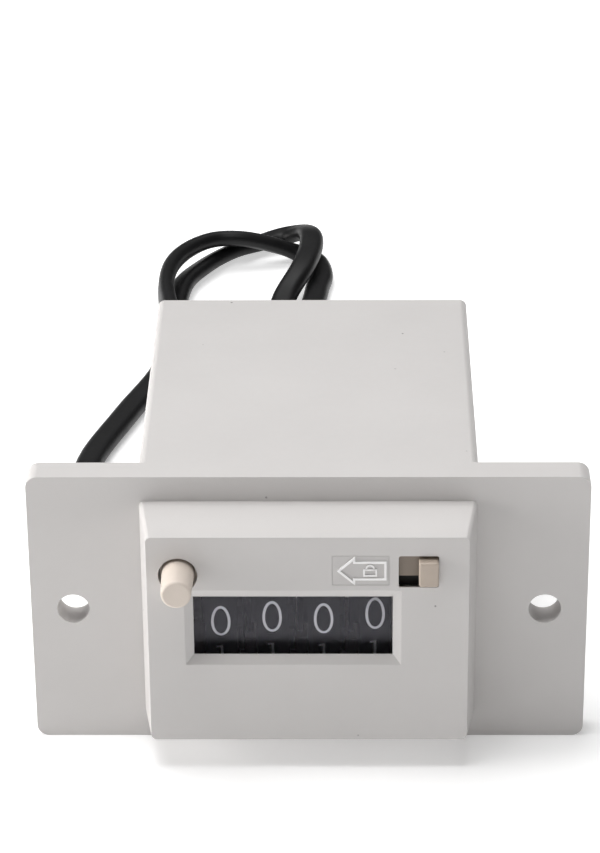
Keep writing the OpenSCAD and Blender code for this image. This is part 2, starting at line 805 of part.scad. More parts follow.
module lock_slide() {
    y = [slide_y, slide_y + slide_t];
    color("tan") {
        block([slide_left, slide_right], y, [slide_low, slide_high]);
        block([tab_x - lock_tab_w / 2, tab_x + lock_tab_w / 2], [front_y - lock_tab_out, slide_y + eps],
            [tab_z - tab_h / 2, tab_z + tab_h / 2]);
        block([tongue_x, slide_left + eps], y, [slide_high - tongue_h, slide_high]);
        block([tongue_x, tongue_x + tongue_w], y, [tongue_low, slide_high]);
    }
}

// Number wheels

// A disc whose edge rises evenly from its low point, at the top, to its high point, at the bottom
module heart() {
    rotate(90) polygon([for (a = [-180:6:174])
        let (r = cam_low_r + (cam_r - cam_low_r) * abs(a) / 180) [r * cos(a), r * sin(a)]]);
}

// Round locking disc with the two teeth that carry the next wheel on
module transfer_disc() {
    circle(transfer_disc_r);
    for (a = [-9, 9]) rotate(pinion_angle + 18 + a)
        translate([transfer_disc_r - 0.5, -0.5]) square([transfer_tooth_r - transfer_disc_r + 0.5, 1]);
}

module number_wheel(i, transfer, ring) {
    bore = shaft_d + 2 * run_gap;
    color("#1a1a1c") difference() {
        union() {
            translate([0, shaft_y, shaft_z]) {
                side_slab(rim_left(i), rim_w) circle(wheel_r, $fn = 96);
                side_slab(rim_left(i) - side_disc_w, side_disc_w + eps) heart();
                if (transfer)
                    side_slab(rim_left(i) - 2 * side_disc_w, side_disc_w + eps) transfer_disc();
                if (ring) side_slab(rim_right(i) - eps, side_disc_w + eps)
                    teeth(ring_teeth, ring_r, ring_r - 1.15 * tooth_module,
                        ring_r + 0.8 * tooth_module, pinion_angle);
            }
            if (!ring) rod_x(rim_right(i) - eps, shaft_y, shaft_z, hub_d, ratchet_t + eps);
        }
        rod_x(rim_left(i) - 3, shaft_y, shaft_z, bore, rim_w + 6);
        side_slab(rim_left(i) + 1.2, rim_w - 2.4) translate([shaft_y, shaft_z]) difference() {
            circle(wheel_r - 1.2);
            circle(d = hub_d);
        }
    }
}

module number_wheel_1() { number_wheel(1, false, true); }
module number_wheel_2() { number_wheel(2, true, true); }
module number_wheel_3() { number_wheel(3, true, true); }
module number_wheel_4() { number_wheel(4, true, false); }

module ratchet_wheel() {
    step = 360 / ratchet_teeth;
    color("ivory") side_slab(rim_right(4), ratchet_t) translate([shaft_y, shaft_z]) difference() {
        polygon([for (k = [0:ratchet_teeth - 1])
            each [[ratchet_root_r * cos(k * step), ratchet_root_r * sin(k * step)],
                [ratchet_r * cos((k + 0.5) * step), ratchet_r * sin((k + 0.5) * step)]]]);
        circle(d = hub_d + 2 * run_gap);
    }
}

module transfer_pinion(i) {
    color("whitesmoke") difference() {
        translate([0, pinion_y, pinion_z]) side_slab(pinion_left(i), pinion_right(i) - pinion_left(i))
            teeth(pinion_teeth, pinion_r, pinion_r - 1.15 * tooth_module, pinion_r + 0.7 * tooth_module,
                pinion_angle + 180 + 180 / pinion_teeth);
        rod_x(pinion_left(i) - eps, pinion_y, pinion_z, pinion_shaft_d + 2 * run_gap, 4);
    }
}

module transfer_pinion_1() { transfer_pinion(1); }
module transfer_pinion_2() { transfer_pinion(2); }
module transfer_pinion_3() { transfer_pinion(3); }

// Magnet

module yoke() {
    x = yoke_w / 2;
    color("#8d9096") difference() {
        union() {
            block([-x, x], [yoke_y, yoke_y + yoke_t], [yoke_bottom, yoke_top]);
            block([-x, x], [pivot_y + knuckle_d / 2 + 0.2, yoke_y + yoke_t], [yoke_top - yoke_t, yoke_top]);
            block([-1, 1], [hook_y, hook_y + hook_t], [yoke_top - eps, tail_z]);
            for (s = [-1, 1]) block(s > 0 ? [x - eps, x + ear_t] : [-x - ear_t, -x + eps],
                [pivot_y - 1.6, pivot_y + 6], [pivot_z - 1.6, yoke_top]);
        }
        rod_x(-x - ear_t - eps, pivot_y, pivot_z, pivot_d + 2 * run_gap, 2 * (x + ear_t + eps));
        rod_y(0, yoke_y - eps, coil_z, 3.2, yoke_t + 2 * eps);
    }
}

// Fixes the yoke's rear plate to the chassis plate
module yoke_screws() {
    gap = chassis_y - yoke_y - yoke_t;
    color("silver") for (x = [-yoke_screw_x, yoke_screw_x]) {
        rod_y(x, yoke_y + yoke_t, yoke_screw_z, yoke_screw_d, gap + chassis_t + 0.2);
        rod_y(x, yoke_y + yoke_t, yoke_screw_z, yoke_nut_d, gap);
        rod_y(x, frame_rear_y + eps, yoke_screw_z, yoke_nut_d, 0.9);
    }
}

module coil_core() {
    color("#8d9096") {
        rod_y(0, core_y, coil_z, core_d, yoke_y - core_y);
        rod_y(0, yoke_y - eps, coil_z, 3, yoke_t + eps);
    }
}

module coil_bobbin() {
    color("ivory") difference() {
        union() {
            rod_y(0, bobbin_y, coil_z, bobbin_tube_d, bobbin_l);
            for (y = [bobbin_y, bobbin_y + bobbin_l - bobbin_flange_t])
                rod_y(0, y, coil_z, bobbin_d, bobbin_flange_t);
        }
        rod_y(0, bobbin_y - eps, coil_z, core_d + 2 * run_gap, bobbin_l + 2 * eps);
    }
}

module winding_tube(inner_d, outer_d) {
    y = bobbin_y + bobbin_flange_t + 0.05;
    l = bobbin_l - 2 * bobbin_flange_t - 0.1;
    difference() {
        rod_y(0, y, coil_z, outer_d, l);
        rod_y(0, y - eps, coil_z, inner_d, l + 2 * eps);
    }
}

module coil_winding() { color("peru") winding_tube(bobbin_tube_d + 0.1, winding_d); }
module coil_tape() { color("khaki") winding_tube(winding_d + 0.1, winding_d + 0.5); }

module armature_pin() {
    l = yoke_w + 2 * ear_t + 0.4;
    color("silver") rod_x(-l / 2, pivot_y, pivot_z, pivot_d, l);
}

// Rubber pad on the left ear's bridge, against which the armature falls back
module armature_stop() {
    color("#2a2a2c") block([-yoke_w / 2 - ear_t, -yoke_w / 2 - eps], [armature_y - 2.2, pivot_y - 1.6 - eps],
        [pivot_z - 1.6, pivot_z + 1.4]);
}

module armature() {
    x = yoke_w / 2 - 0.3;
    y = [armature_y, armature_y + armature_t];
    tail_w = 3;
    color("#8d9096") difference() {
        union() {
            rod_x(-x, pivot_y, pivot_z, knuckle_d, 2 * x);
            block([-armature_w / 2, armature_w / 2], y, [armature_low, pivot_z]);
            block([-armature_w / 2, pallet_x + pallet_t / 2], y, [pivot_z - 9, pivot_z - 3]);
            block([-x, x], [armature_y, pivot_y], [pivot_z - 1.2, pivot_z + 0.4]);
            block([-tail_w / 2, tail_w / 2], y, [pivot_z, tail_z]);
        }
        rod_x(-x - eps, pivot_y, pivot_z, pivot_d + 2 * run_gap, 2 * x + 2 * eps);
    }
}

// Two-clawed lever that steps the ratchet
module pallet() {
    reach = ratchet_r + 0.5;
    claw = 28;
    rear = armature_y - shaft_y - 0.02;
    color("ivory") side_slab(pallet_x - pallet_t / 2, pallet_t) translate([shaft_y, shaft_z]) polygon([
        [reach * cos(claw), reach * sin(claw)], [reach * cos(claw) + 1.2, reach * sin(claw) + 1.4],
        [rear, 2.6], [rear, -2.6], [reach * cos(claw) + 1.2, -reach * sin(claw) - 1.4],
        [reach * cos(claw), -reach * sin(claw)], [reach + 1.2, -1.2], [reach + 1.2, 1.2]]);
}

module armature_spring() {
    spring_y(0, armature_y + armature_t, tail_z - 1, return_spring_d, return_spring_wire_d,
        return_spring_l, 9);
}

// Terminals, wires and cable

module terminal_board() {
    color("#b98a4e") block([-7, 7], [board_y, board_y + board_l], [board_z, board_z + board_t]);
}

module solder_lugs() {
    color("goldenrod") for (x = [-lug_x, lug_x]) {
        block([x - lug_w / 2, x + lug_w / 2], [board_y + lug_in, board_y + board_l - lug_in],
            [board_z + board_t, board_z + board_t + lug_t]);
        block([x - lug_w / 2, x + lug_w / 2], [board_y + lug_in, board_y + lug_in + lug_t],
            [board_z + board_t, board_z + board_t + lug_h]);
    }
}

module lead_wires() {
    lug_top = board_z + board_t + lug_t + wire_d / 2;
    mid_y = board_y + board_l / 2;
    cable_in = inner_cable_y - wire_d / 2 - 0.05;
    coil_side = coil_z + winding_d / 2 - 1.1;
    color("firebrick") {
        wire([[6.4, mid_y, coil_side], [10, mid_y, coil_z + 9], [10.4, mid_y, yoke_top],
            [8, mid_y, lug_top + 0.6], [lug_x, mid_y, lug_top]]);
        wire([[exit_x, cable_in, exit_z + 0.7], [12.4, cable_in - 3, 0],
            [11.6, cable_in - 7, yoke_top - 2], [9, mid_y + 3, lug_top + 1],
            [lug_x, mid_y + 2, lug_top]]);
    }
    color("royalblue") {
        wire([[-6.4, mid_y, coil_side], [-10, mid_y, coil_z + 9], [-10.4, mid_y, yoke_top],
            [-8, mid_y, lug_top + 0.6], [-lug_x, mid_y, lug_top]]);
        wire([[exit_x + 1.4, cable_in, exit_z + 0.7], [14.6, cable_in - 4, 0],
            [14, cable_in - 8, yoke_top - 2], [8, mid_y - 2.6, lug_top + 1.6],
            [-1, mid_y - 2.6, lug_top + 1.2], [-lug_x, mid_y - 2, lug_top]]);
    }
}

// The stretch of cable inside the bush and the cover
module inner_cable() {
    color("#1a1a1c") translate([exit_x, 0, exit_z])
        slab(inner_cable_y, cable_end_y - 0.1 - inner_cable_y) cable_outline(0);
}

module cable() {
    color("#1a1a1c") translate(cable_shift) sweep(smooth(cable_route, 2), oval(cable_w, cable_t, 8));
}

// Two insulated cores that come out of the cable's far end, and their tinned tips
module far_rod(side, from, l, d) {
    path = smooth(cable_route, 2);
    along = heading(path, len(path) - 1);
    translate(cable_shift + place(path[len(path) - 1]) + cross(along, [0, 0, 1]) * side + along * from)
        rotate([0, 0, atan2(along[1], along[0])]) rotate([0, 90, 0]) cylinder(d = d, h = l);
}

module cable_cores() {
    color("saddlebrown") far_rod(-far_core_x, eps, far_core_l, far_core_d);
    color("royalblue") far_rod(far_core_x, eps, far_core_l, far_core_d);
}

module core_tips() {
    color("silver") for (x = [-far_core_x, far_core_x])
        far_rod(x, far_core_l + 2 * eps, far_tip_l, far_tip_d);
}

case();
bezel();
window_pane();
lock_legend();
rear_cover();
rear_cover_screws();
cable_bush();
side_frame_left();
side_frame_right();
frame_spacers();
chassis_plate();
button_bracket();
lock_keeper();
wheel_shaft();
shaft_clips();
shaft_sleeves();
pinion_shaft();
pinion_sleeves();
yoke();
yoke_screws();
coil_core();
coil_bobbin();
coil_winding();
coil_tape();
armature_pin();
armature_stop();
terminal_board();
solder_lugs();
lead_wires();
inner_cable();
reset_button();
reset_button_spring();
reset_comb();
lock_slide();
number_wheel_1();
number_wheel_2();
number_wheel_3();
number_wheel_4();
ratchet_wheel();
transfer_pinion_1();
transfer_pinion_2();
transfer_pinion_3();
armature();
pallet();
armature_spring();
cable();
cable_cores();
core_tips();
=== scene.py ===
"""Looks of the panel-mount impulse counter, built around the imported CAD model."""
import json
import math

import bmesh
import bpy
from mathutils import Matrix, Vector


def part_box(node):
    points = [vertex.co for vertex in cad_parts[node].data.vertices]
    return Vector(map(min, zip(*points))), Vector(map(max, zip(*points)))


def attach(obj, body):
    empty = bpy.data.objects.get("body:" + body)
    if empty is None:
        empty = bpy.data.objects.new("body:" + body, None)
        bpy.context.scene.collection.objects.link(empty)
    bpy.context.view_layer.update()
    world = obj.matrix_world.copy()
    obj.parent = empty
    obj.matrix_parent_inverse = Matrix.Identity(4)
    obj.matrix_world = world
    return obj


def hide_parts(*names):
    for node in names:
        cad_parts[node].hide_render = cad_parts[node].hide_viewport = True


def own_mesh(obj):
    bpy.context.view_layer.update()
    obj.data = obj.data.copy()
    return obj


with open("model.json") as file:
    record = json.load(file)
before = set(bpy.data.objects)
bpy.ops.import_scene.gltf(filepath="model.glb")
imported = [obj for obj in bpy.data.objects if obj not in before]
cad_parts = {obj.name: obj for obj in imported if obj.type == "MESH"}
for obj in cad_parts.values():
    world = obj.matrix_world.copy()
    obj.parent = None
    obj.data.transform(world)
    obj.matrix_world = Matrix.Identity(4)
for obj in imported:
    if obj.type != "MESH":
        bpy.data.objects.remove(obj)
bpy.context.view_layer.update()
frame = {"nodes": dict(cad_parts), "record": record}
nodes = frame["nodes"]
scene = bpy.context.scene
MM = 0.001
TABLE_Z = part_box("case")[0].z


# ---------------------------------------------------------------- camera

def make_camera():
    """The photograph's view: a long lens, 27 degrees above the table, almost square to the front."""
    azimuth, elevation, roll = (math.radians(a) for a in (-0.999, 26.992, -0.516))
    forward = Vector((math.sin(azimuth) * math.cos(elevation), math.cos(azimuth) * math.cos(elevation),
                      -math.sin(elevation)))
    right = Vector((math.cos(azimuth), -math.sin(azimuth), 0))
    up = right.cross(forward)
    right, up = (math.cos(roll) * right + math.sin(roll) * up, math.cos(roll) * up - math.sin(roll) * right)
    data = bpy.data.cameras.new("camera")
    data.lens, data.sensor_width = 137.72, 36
    data.clip_start, data.clip_end = 0.02, 20
    camera = bpy.data.objects.new("camera", data)
    camera.matrix_world = Matrix((right, up, -forward)).transposed().to_4x4()
    camera.location = (0.00567, -0.38122, 0.22191 - 0.020 - TABLE_Z - 0.0002)
    scene.collection.objects.link(camera)
    scene.camera = camera


make_camera()


# ---------------------------------------------------------------- materials

def shader(name, colour, roughness=0.5, metallic=0.0, specular=0.5, coat=0.0):
    material = bpy.data.materials.new(name)
    material.use_nodes = True
    bsdf = material.node_tree.nodes["Principled BSDF"]
    bsdf.inputs["Base Color"].default_value = (*colour, 1)
    bsdf.inputs["Roughness"].default_value = roughness
    bsdf.inputs["Metallic"].default_value = metallic
    bsdf.inputs["Specular IOR Level"].default_value = specular
    bsdf.inputs["Coat Weight"].default_value = coat
    return material, bsdf


def add(material, kind, **values):
    node = material.node_tree.nodes.new(kind)
    for key, value in values.items():
        if hasattr(node, key):
            setattr(node, key, value)
        else:
            node.inputs[key.replace("_", " ")].default_value = value
    return node


def join(material, a, b):
    material.node_tree.links.new(a, b)


def place(material, stretch=(1, 1, 1)):
    """Object coordinates, stretched along the axes."""
    coordinates = add(material, "ShaderNodeTexCoord")
    mapping = add(material, "ShaderNodeMapping")
    mapping.inputs["Scale"].default_value = stretch
    join(material, coordinates.outputs["Object"], mapping.inputs["Vector"])
    return mapping.outputs["Vector"]


def noise(material, scale, detail=3.0, stretch=(1, 1, 1)):
    node = add(material, "ShaderNodeTexNoise", Scale=scale, Detail=detail)
    join(material, place(material, stretch), node.inputs["Vector"])
    return node.outputs["Fac"]


def ramp(material, value, stops):
    """Colours or greys along value: stops is a list of (place, colour)."""
    node = add(material, "ShaderNodeValToRGB")
    elements = node.color_ramp.elements
    while len(elements) < len(stops):
        elements.new(0.5)
    for element, (at, colour) in zip(elements, stops):
        element.position = at
        element.color = (*colour, 1) if hasattr(colour, "__len__") else (colour, colour, colour, 1)
    join(material, value, node.inputs["Fac"])
    return node.outputs["Color"]


def mix(material, share, a, b, blend="MIX"):
    """A blend of two colours, each an output or a plain colour."""
    node = add(material, "ShaderNodeMix", data_type="RGBA", blend_type=blend)
    for socket, value in (("Factor", share), ("A", a), ("B", b)):
        target = next(s for s in node.inputs if s.name == socket and s.enabled)
        if isinstance(value, bpy.types.NodeSocket):
            join(material, value, target)
        else:
            target.default_value = value if socket == "Factor" else (*value, 1)
    return next(s for s in node.outputs if s.enabled)


def bump(material, bsdf, height, depth, strength=1.0):
    node = add(material, "ShaderNodeBump", Strength=strength, Distance=depth)
    join(material, height, node.inputs["Height"])
    join(material, node.outputs["Normal"], bsdf.inputs["Normal"])


def tinted(material, bsdf, colour, spread, scale):
    """Gives the base colour a slow, slight change of shade."""
    low, high = ([c * f for c in colour] for f in (1 - spread, 1 + spread))
    shade = ramp(material, noise(material, scale), [(0.3, low), (0.7, high)])
    join(material, shade, bsdf.inputs["Base Color"])
    return shade


def specks(material, bsdf, shade, colour, scale, size, share):
    """Sparse small marks: dots of a cell pattern, kept only in a share of the cells."""
    cells = add(material, "ShaderNodeTexVoronoi", Scale=scale, feature="F1")
    join(material, place(material), cells.inputs["Vector"])
    dots = ramp(material, cells.outputs["Distance"], [(size * 0.6, 1.0), (size, 0.0)])
    kept = ramp(material, noise(material, scale * 0.35, 1.0), [(share, 0.0), (share + 0.02, 1.0)])
    mask = mix(material, 1.0, dots, kept, "MULTIPLY")
    mixed = mix(material, mask, shade, colour)
    join(material, mixed, bsdf.inputs["Base Color"])


def moulded(name, colour, roughness=0.5, marks=True):
    """Satin moulded plastic: fine grain, faint flow marks and a few specks of dirt."""
    material, bsdf = shader(name, colour, roughness, specular=0.4)
    shade = tinted(material, bsdf, colour, 0.02, 60)
    if marks:
        specks(material, bsdf, shade, [c * 0.35 for c in colour], 300, 0.065, 0.56)
    join(material, ramp(material, noise(material, 900), [(0.3, roughness - 0.06), (0.7, roughness + 0.06)]),
         bsdf.inputs["Roughness"])
    bump(material, bsdf, noise(material, 3200, 4.0), 0.00002, 0.25)
    return material


def glossy_plastic(name, colour, roughness=0.3, spread=0.03, specular=0.5):
    material, bsdf = shader(name, colour, roughness, specular=specular)
    tinted(material, bsdf, colour, spread, 250)
    bump(material, bsdf, noise(material, 1800), 0.00002, 0.15)
    return material


def metal(name, colour, roughness=0.3, brushed=(1, 1, 1)):
    material, bsdf = shader(name, colour, roughness, metallic=1.0)
    tinted(material, bsdf, colour, 0.06, 300)
    grain = noise(material, 900, 4.0, brushed)
    spread = [(0.3, roughness * 0.7), (0.7, roughness * 1.4)]
    join(material, ramp(material, grain, spread), bsdf.inputs["Roughness"])
    bump(material, bsdf, noise(material, 2000, 4.0, brushed), 0.00001, 0.3)
    return material


def cable_jacket():
    """Soft black PVC with a slight sheen and fine extrusion marks."""
    colour = (0.005, 0.005, 0.0055)
    material, bsdf = shader("cable_jacket", colour, 0.42, specular=0.28)
    tinted(material, bsdf, colour, 0.25, 120)
    join(material, ramp(material, noise(material, 350), [(0.3, 0.4), (0.7, 0.5)]), bsdf.inputs["Roughness"])
    bump(material, bsdf, noise(material, 1500, 3.0), 0.00002, 0.2)
    return material


def window_material():
    """Clear acrylic with a faint grey veil that is a painted reflection, thinned along its lower edge into a
    painted dark band.
    """
    material, bsdf = shader("window_acrylic", (0.21, 0.205, 0.235), 0.06, specular=0.3)
    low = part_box("window_pane")[0].z
    separate = add(material, "ShaderNodeSeparateXYZ")
    join(material, place(material), separate.inputs["Vector"])
    height = add(material, "ShaderNodeMapRange")
    # painted reflection: alpha 0.16 over the upper pane, falling to 0.02 along the bottom as painted shade
    painted_reflection_fade = (("From Min", low + 0.0026), ("From Max", low + 0.0034), ("To Min", 0.02), ("To Max", 0.16))
    for key, value in painted_reflection_fade:
        height.inputs[key].default_value = value
    join(material, separate.outputs["Z"], height.inputs["Value"])
    join(material, height.outputs["Result"], bsdf.inputs["Alpha"])
    bump(material, bsdf, noise(material, 200), 0.00001, 0.05)
    return material


def slide_material():
    """Beige plastic of the lock slide, its plate behind the tab coloured darker than the tab as a painted shadow.
    """
    colour = (0.47, 0.395, 0.33)
    material, bsdf = shader("slide_plastic", colour, 0.4)
    separate = add(material, "ShaderNodeSeparateXYZ")
    join(material, place(material), separate.inputs["Vector"])
    depth = add(material, "ShaderNodeMapRange")
    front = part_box("bezel")[0].y
    for key, value in (("From Min", front + 0.0003), ("From Max", front + 0.0008)):
        depth.inputs[key].default_value = value
    join(material, separate.outputs["Y"], depth.inputs["Value"])
    # painted shadow: the plate's darker colour stands for the shade the plate sits in behind the tab
    painted_plate_shadow = (0.235, 0.19, 0.15)
    low, high = ([c * f for c in colour] for f in (0.96, 1.04))
    shade = ramp(material, noise(material, 250), [(0.3, low), (0.7, high)])
    join(material, mix(material, depth.outputs["Result"], shade, painted_plate_shadow), bsdf.inputs["Base Color"])
    bump(material, bsdf, noise(material, 1800), 0.00002, 0.15)
    return material


GREY = (0.60, 0.582, 0.572)
MATERIALS = {
    "housing_grey": moulded("housing_plastic", GREY),
    "legend_plate": moulded("legend_plastic", [c * 0.93 for c in GREY], 0.45, False),
    "legend_relief": moulded("legend_paint", (0.90, 0.89, 0.89), 0.4, False),
    "window_clear": window_material(),
    "numeral_print": glossy_plastic("numeral_print", (0.94, 0.94, 0.99), 0.5),
    "button_ivory": glossy_plastic("button_plastic", (0.68, 0.60, 0.53), 0.42),
    "slide_tan": slide_material(),
    "keeper_black": glossy_plastic("keeper_plastic", (0.006, 0.006, 0.006), 0.6),
    "frame_steel": metal("plated_sheet", (0.62, 0.62, 0.60), 0.35, (1, 12, 1)),
    "pin_steel": metal("bright_steel", (0.70, 0.70, 0.71), 0.2, (12, 1, 1)),
    "magnet_iron": metal("soft_iron", (0.42, 0.42, 0.43), 0.45),
    "wheel_black": glossy_plastic("wheel_plastic", (0.005, 0.005, 0.006), 0.7, specular=0.06),
    "nylon_white": glossy_plastic("acetal", (0.74, 0.73, 0.69), 0.35),
    "winding_copper": metal("enamelled_copper", (0.62, 0.27, 0.12), 0.3, (1, 60, 1)),
    "tape_yellow": glossy_plastic("coil_tape_film", (0.72, 0.55, 0.16), 0.3),
    "board_brown": glossy_plastic("board_laminate", (0.30, 0.16, 0.06), 0.5),
    "lug_brass": metal("brass_lug", (0.72, 0.55, 0.25), 0.3),
    "rubber_black": glossy_plastic("bush_rubber", (0.016, 0.016, 0.017), 0.55),
    "cable_black": cable_jacket(),
    "core_brown": glossy_plastic("core_brown_pvc", (0.16, 0.06, 0.03), 0.4),
    "core_blue": glossy_plastic("core_blue_pvc", (0.03, 0.10, 0.34), 0.4),
}
for part in frame["record"]["subparts"]:
    cad_mesh = nodes[part["node"]].data
    cad_mesh.materials.clear()
    cad_mesh.materials.append(MATERIALS[part["material_slot"]])


# ---------------------------------------------------------------- mesh helpers

def new_object(name, points, faces, slot):
    """A mesh from points in millimetres."""
    mesh = bpy.data.meshes.new(name)
    mesh.from_pydata([[c * MM for c in p] for p in points], [], faces)
    shape = bmesh.new()
    shape.from_mesh(mesh)
    bmesh.ops.recalc_face_normals(shape, faces=shape.faces)
    shape.to_mesh(mesh)
    shape.free()
    mesh.materials.append(MATERIALS[slot])
    piece = bpy.data.objects.new(name, mesh)
    scene.collection.objects.link(piece)
    return piece


def stack(name, rings, slot, closed=False):
    """Skins rings of points, each with the same number of points, and caps the ends."""
    count = len(rings[0])
    points = [p for ring in rings for p in ring]
    rows = len(rings)
    faces = []
    for i in range(rows if closed else rows - 1):
        for j in range(count):
            a, b = i * count + j, i * count + (j + 1) % count
            step = ((i + 1) % rows - i) * count
            faces.append((a, b, b + step, a + step))
    if not closed:
        faces += [tuple(range(count - 1, -1, -1)), tuple((rows - 1) * count + j for j in range(count))]
    return new_object(name, points, faces, slot)


def rounded(w, h, r, steps=8):
    """Points round a rectangle with rounded corners, about its centre."""
    if r <= 0:
        return [(w / 2, -h / 2), (w / 2, h / 2), (-w / 2, h / 2), (-w / 2, -h / 2)]
    corners = ((1, -1, -90), (1, 1, 0), (-1, 1, 90), (-1, -1, 180))
    return [(x * (w / 2 - r) + r * math.cos(math.radians(a + 90 * k / steps)),
             z * (h / 2 - r) + r * math.sin(math.radians(a + 90 * k / steps)))
            for x, z, a in corners for k in range(steps + 1)]


def block(name, size, at, depth, slot, r=0.0):
    """A prism along Y: size is (width, height), at is (x, z) of its centre, depth is (front, rear)."""
    outline = rounded(*size, r)
    return stack(name, [[(at[0] + x, y, at[1] + z) for x, z in outline] for y in depth], slot)


def lathe(name, profile, centre, slot, steps=64):
    """Turns a profile of (radius, y) about an axis along Y through centre, (x, z)."""
    angles = [2 * math.pi * k / steps for k in range(steps)]
    rings = [[(centre[0] + r * math.cos(a), y, centre[1] + r * math.sin(a)) for a in angles] for r, y in profile]
    return stack(name, rings, slot)


def combine(target, tool, operation):
    modifier = target.modifiers.new("cut", "BOOLEAN")
    modifier.operation, modifier.solver, modifier.object = operation, "EXACT", tool
    apply(target)
    bpy.data.objects.remove(tool)


def apply(piece):
    """Replaces the piece's mesh with what its modifiers make of it."""
    graph = bpy.context.evaluated_depsgraph_get()
    graph.update()
    made = bpy.data.meshes.new_from_object(piece.evaluated_get(graph))
    piece.modifiers.clear()
    old = piece.data
    piece.data = made
    bpy.data.meshes.remove(old)


def tidy(piece):
    """Joins doubled points and flat neighbours left by cuts."""
    shape = bmesh.new()
    shape.from_mesh(piece.data)
    bmesh.ops.remove_doubles(shape, verts=shape.verts, dist=1e-6)
    bmesh.ops.dissolve_limit(shape, angle_limit=math.radians(1), verts=shape.verts, edges=shape.edges,
                             use_dissolve_boundaries=False, delimit={"NORMAL"})
    shape.to_mesh(piece.data)
    shape.free()


def round_edges(piece, width, weight=None, segments=3, sharp=40, flat=35):
    """Bevels the edges sharper than an angle. weight(points) gives an edge's share of the width."""
    shape = bmesh.new()
    shape.from_mesh(piece.data)
    layer = shape.edges.layers.float.new("bevel_weight_edge")
    for edge in shape.edges:
        if len(edge.link_faces) == 2 and edge.calc_face_angle() > math.radians(sharp):
            edge[layer] = weight([v.co / MM for v in edge.verts]) if weight else 1.0
    shape.to_mesh(piece.data)
    shape.free()
    modifier = piece.modifiers.new("edges", "BEVEL")
    modifier.width, modifier.segments = width * MM, segments
    modifier.limit_method, modifier.use_clamp_overlap = "WEIGHT", True
    modifier.miter_outer = "MITER_ARC"
    apply(piece)
    smooth(piece, flat)


def smooth(piece, angle=35):
    """Smooth shading that keeps large faces flat."""
    mesh = piece.data
    mesh.shade_smooth()
    shape = bmesh.new()
    shape.from_mesh(mesh)
    for edge in shape.edges:
        if len(edge.link_faces) == 2:
            edge.smooth = edge.calc_face_angle() < math.radians(angle)
    shape.to_mesh(mesh)
    shape.free()
    modifier = piece.modifiers.new("shading", "WEIGHTED_NORMAL")
    modifier.keep_sharp, modifier.weight = True, 80
    modifier.mode = "FACE_AREA_WITH_ANGLE"


def finished(piece, body, *stands_for):
    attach(piece, body)
    if stands_for:
        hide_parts(*stands_for)
    return piece


def slot_of(node):
    return next(part["material_slot"] for part in frame["record"]["subparts"] if part["node"] == node)


def box_mm(node):
    low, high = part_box(node)
    return low / MM, high / MM


# ---------------------------------------------------------------- cable

CABLE_W, CABLE_T = 4.3, 2.7
CABLE_ROUTE = [
    (13, 68, -8, 0), (13, 73, -8, 0), (12.8, 80, -10, 0), (11.6, 88, -15.6, 0), (8, 97, -18.3, 0),
    (2.4, 107, -18.6, 0), (-1.4, 126, -18.6, 0), (-0.4, 142.5, -18.6, 0), (0.4, 149.8, -18.6, 0),
    (-0.7, 156, -18.6, 0), (-3.8, 159, -18.2, -10), (-8.8, 158.5, -16.2, -27),
    (-13.9, 157.8, -14.8, -27), (-18.8, 157, -14.6, -30), (-22.6, 153.5, -14.6, -45),
    (-25.4, 147.8, -14.6, -65), (-26.5, 141, -14.6, -80), (-26.2, 132.6, -14.6, -80),
    (-24.7, 124.2, -14.6, -55), (-20.6, 119, -16.8, -20), (-14, 120.3, -18.5, 0),
    (-9.5, 125.3, -18.6, 0), (-7, 132.7, -18.4, 0), (-5.6, 139.2, -17.2, 0), (-2.9, 145.7, -15.2, 0),
    (-1.5, 153, -14.8, -5), (-1.5, 158.8, -14.8, -8), (-2.9, 163.2, -16, 0), (-6.4, 165.5, -17.7, 5),
    (-11, 163.7, -18.3, -15), (-15.9, 159.9, -18.3, -27), (-20.7, 153.2, -18.3, -27),
    (-24.3, 144.6, -18.4, -20), (-25.3, 129.4, -18.6, 0), (-25.7, 112.5, -18.6, 0),
    (-31, 95.3, -18.6, 0), (-35.8, 78.3, -18.6, 0), (-35.2, 66, -18.6, 0), (-30, 54, -18.6, 0),
    (-27, 42, -18.6, 0),
]


def smooth_route(route, steps):
    """The curve through the route's points that the CAD tube follows, with more rings."""
    def blend(a, b, c, d, t):
        square, cube = 2 * a - 5 * b + 4 * c - d, 3 * b - a - 3 * c + d
        return 0.5 * (2 * b + (c - a) * t + square * t ** 2 + cube * t ** 3)

    last = len(route) - 1
    made = [[blend(*(route[max(0, min(last, i + k))][axis] for k in (-1, 0, 1, 2)), step / steps)
             for axis in range(4)] for i in range(last) for step in range(steps)]
    return made + [list(route[-1])]


def sweep(name, line, outline, slot):
    """Sweeps an outline of (side, up) points along a line of (x, y, z, turn) points."""
    rings = []
    for i, (x, y, z, turn) in enumerate(line):
        ahead, back = line[min(i + 1, len(line) - 1)], line[max(i - 1, 0)]
        along = Vector([a - b for a, b in zip(ahead[:3], back[:3])]).normalized()
        side = along.cross(Vector((0, 0, 1))).normalized()
        up = side.cross(along)
        c, s = math.cos(math.radians(turn)), math.sin(math.radians(turn))
        rings.append([Vector((x, y, z)) + side * (u * c - v * s) + up * (u * s + v * c) for u, v in outline])
    return stack(name, rings, slot)


def flat_outline(steps=10):
    """Two round cores side by side under one smooth jacket."""
    offset, r = (CABLE_W - CABLE_T) / 2, CABLE_T / 2
    half = [(offset + r * math.cos(math.radians(a)), r * math.sin(math.radians(a)))
            for a in (180 * k / steps - 90 for k in range(steps + 1))]
    return half + [(-u, -v) for u, v in half]


def make_cable():
    line = smooth_route(CABLE_ROUTE, 6)
    cable = sweep("cable_jacket", line, flat_outline(), "cable_black")
    cable.data.shade_smooth()
    finished(cable, "housing", "cable")
    path = [tuple(c * MM for c in p[:3]) for p in line]
    length = sum(math.dist(a, b) for a, b in zip(path, path[1:]))
    print("cable length", round(length, 4))


make_cable()


# ---------------------------------------------------------------- case and bezel

